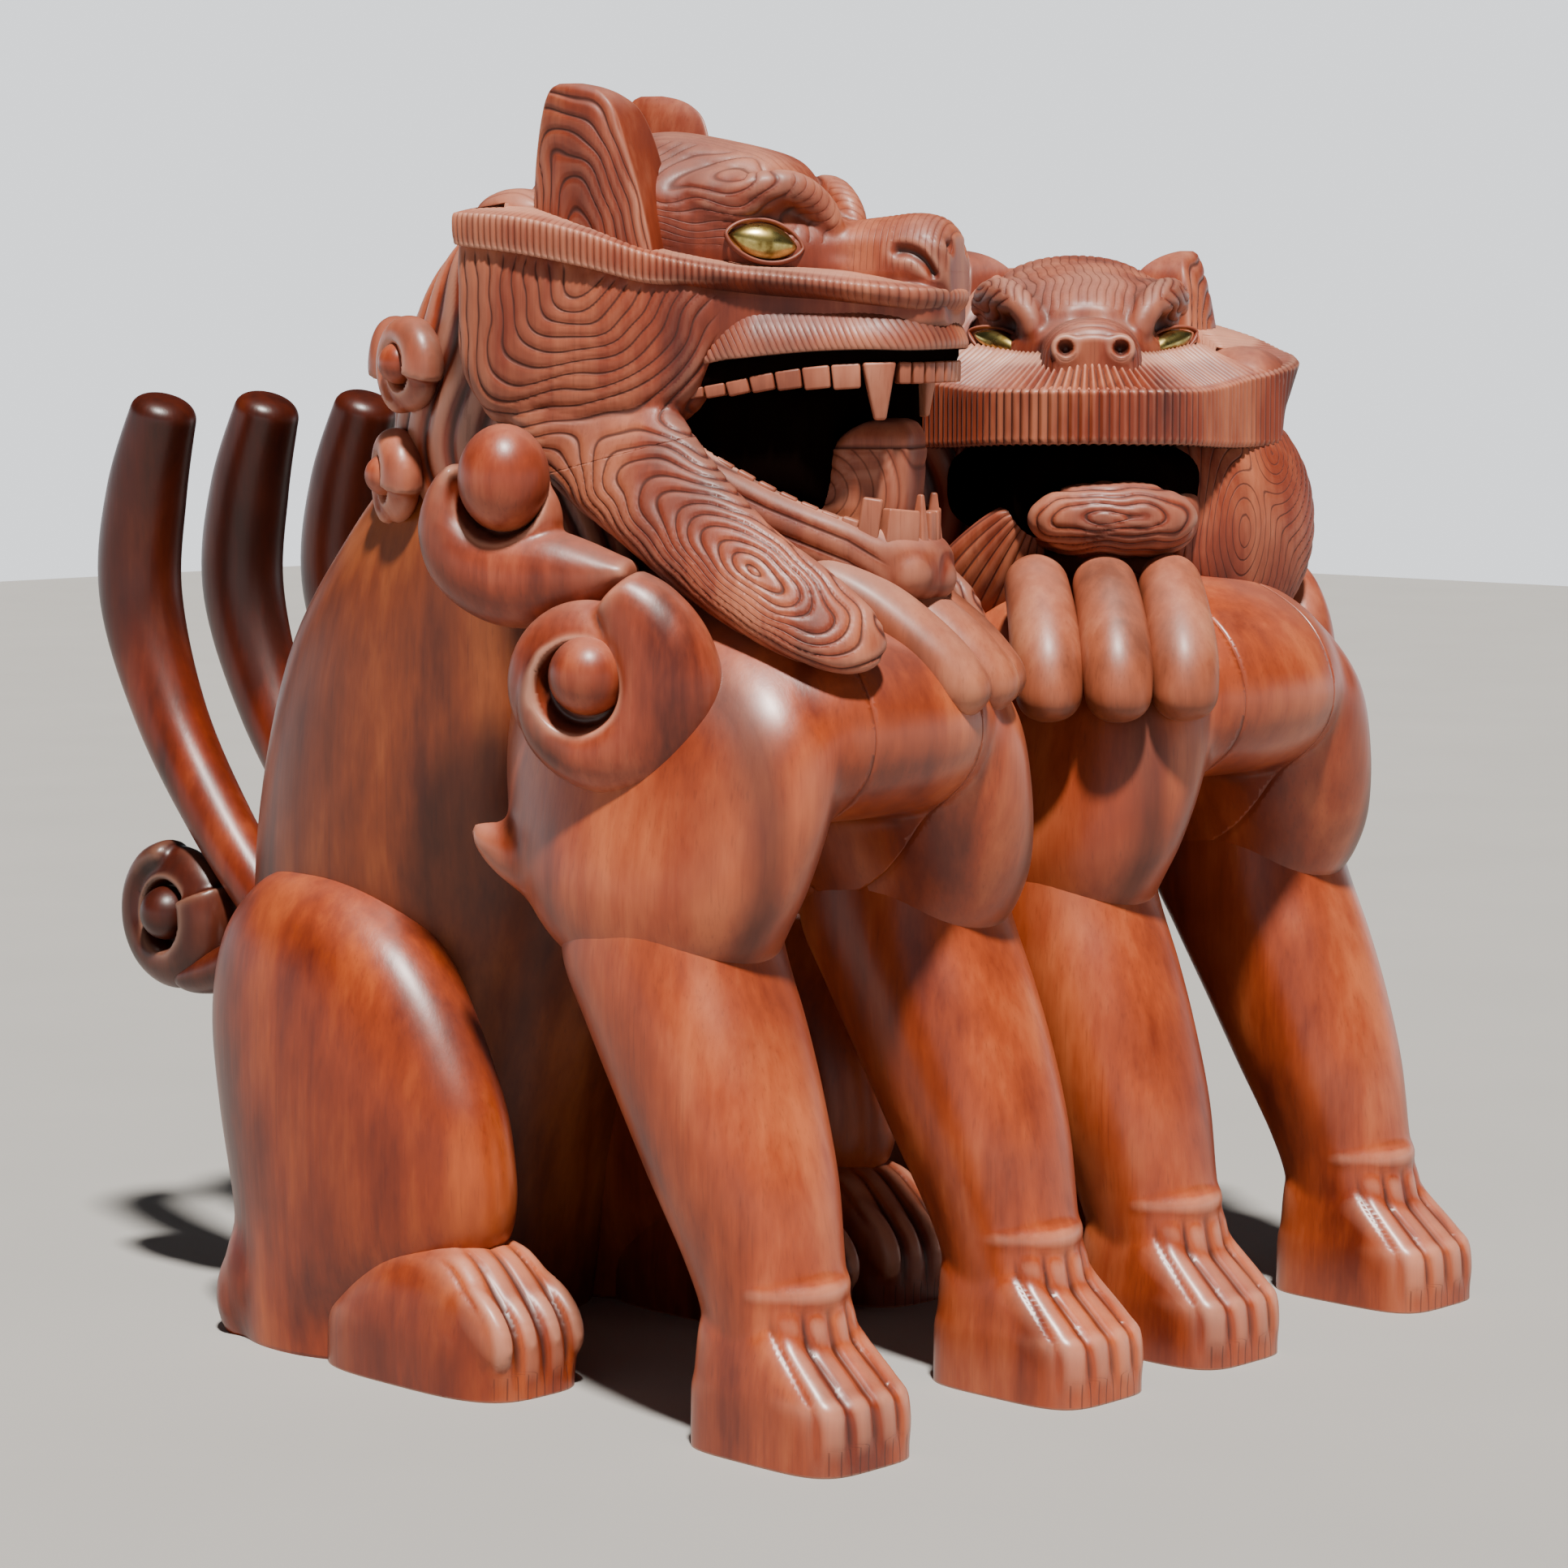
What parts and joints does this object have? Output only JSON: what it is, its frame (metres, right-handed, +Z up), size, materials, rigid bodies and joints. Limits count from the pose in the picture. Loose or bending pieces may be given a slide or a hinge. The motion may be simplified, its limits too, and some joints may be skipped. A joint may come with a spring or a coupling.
{
  "type": "pair of carved guardian lion dog statues",
  "caption": "Pair of seated guardian lion dogs carved in stained hardwood, one with an open mouth and one with it shut, with curled manes, plume tails and brass eyes.",
  "frame": {"origin": "on the floor, in the middle of the pair's box, between the two dogs", "axes": "+X from the open-mouthed left dog to the right dog, -Y the way both bodies face, +Z up"},
  "size_m": [1.5428, 1.5612, 1.7066],
  "materials": {
    "body_wood": "red-brown stained hardwood under satin varnish",
    "carved_head_wood": "weathered red-brown hardwood with carved ring grooves, dull varnish",
    "mane_wood": "stained hardwood, satin varnish, dark in the recesses",
    "plume_wood": "dark red stained hardwood, satin varnish",
    "tooth_wood": "paler worn hardwood",
    "joinery_wood": "bare hardwood dowels and tenons, hidden",
    "brass_eye": "polished sheet brass, slightly dulled"
  },
  "bodies": {
    "root": {"left_dog_trunk": "body_wood", "left_dog_breast": "body_wood", "left_dog_shoulder_right": "body_wood", "left_dog_shoulder_left": "body_wood", "left_dog_front_leg_right": "body_wood", "left_dog_front_leg_left": "body_wood", "left_dog_haunch_right": "body_wood", "left_dog_haunch_left": "body_wood", "left_dog_hind_paw_right": "body_wood", "left_dog_hind_paw_left": "body_wood", "left_dog_mane": "mane_wood", "left_dog_head": "carved_head_wood", "left_dog_ear_right": "carved_head_wood", "left_dog_ear_left": "carved_head_wood", "left_dog_eyes": "brass_eye", "left_dog_upper_teeth": "tooth_wood", "left_dog_lower_jaw": "carved_head_wood", "left_dog_lower_teeth": "tooth_wood", "left_dog_tongue": "mane_wood", "left_dog_side_curls_right": "mane_wood", "left_dog_side_curls_left": "mane_wood", "left_dog_nape_curls": "mane_wood", "left_dog_beard_locks": "mane_wood", "left_dog_tail_plume_right": "plume_wood", "left_dog_tail_plume_middle": "plume_wood", "left_dog_tail_plume_left": "plume_wood", "left_dog_tail_curls": "plume_wood", "left_dog_neck_tenon": "joinery_wood", "left_dog_dowels": "joinery_wood", "right_dog_trunk": "body_wood", "right_dog_breast": "body_wood", "right_dog_shoulder_right": "body_wood", "right_dog_shoulder_left": "body_wood", "right_dog_front_leg_right": "body_wood", "right_dog_front_leg_left": "body_wood", "right_dog_haunch_right": "body_wood", "right_dog_haunch_left": "body_wood", "right_dog_hind_paw_right": "body_wood", "right_dog_hind_paw_left": "body_wood", "right_dog_mane": "mane_wood", "right_dog_head": "carved_head_wood", "right_dog_ear_right": "carved_head_wood", "right_dog_ear_left": "carved_head_wood", "right_dog_eyes": "brass_eye", "right_dog_lower_jaw": "carved_head_wood", "right_dog_side_curls_right": "mane_wood", "right_dog_side_curls_left": "mane_wood", "right_dog_nape_curls": "mane_wood", "right_dog_beard_locks": "mane_wood", "right_dog_tail_plume_right": "plume_wood", "right_dog_tail_plume_middle": "plume_wood", "right_dog_tail_plume_left": "plume_wood", "right_dog_tail_curls": "plume_wood", "right_dog_neck_tenon": "joinery_wood", "right_dog_dowels": "joinery_wood"}
  },
  "joints": []
}
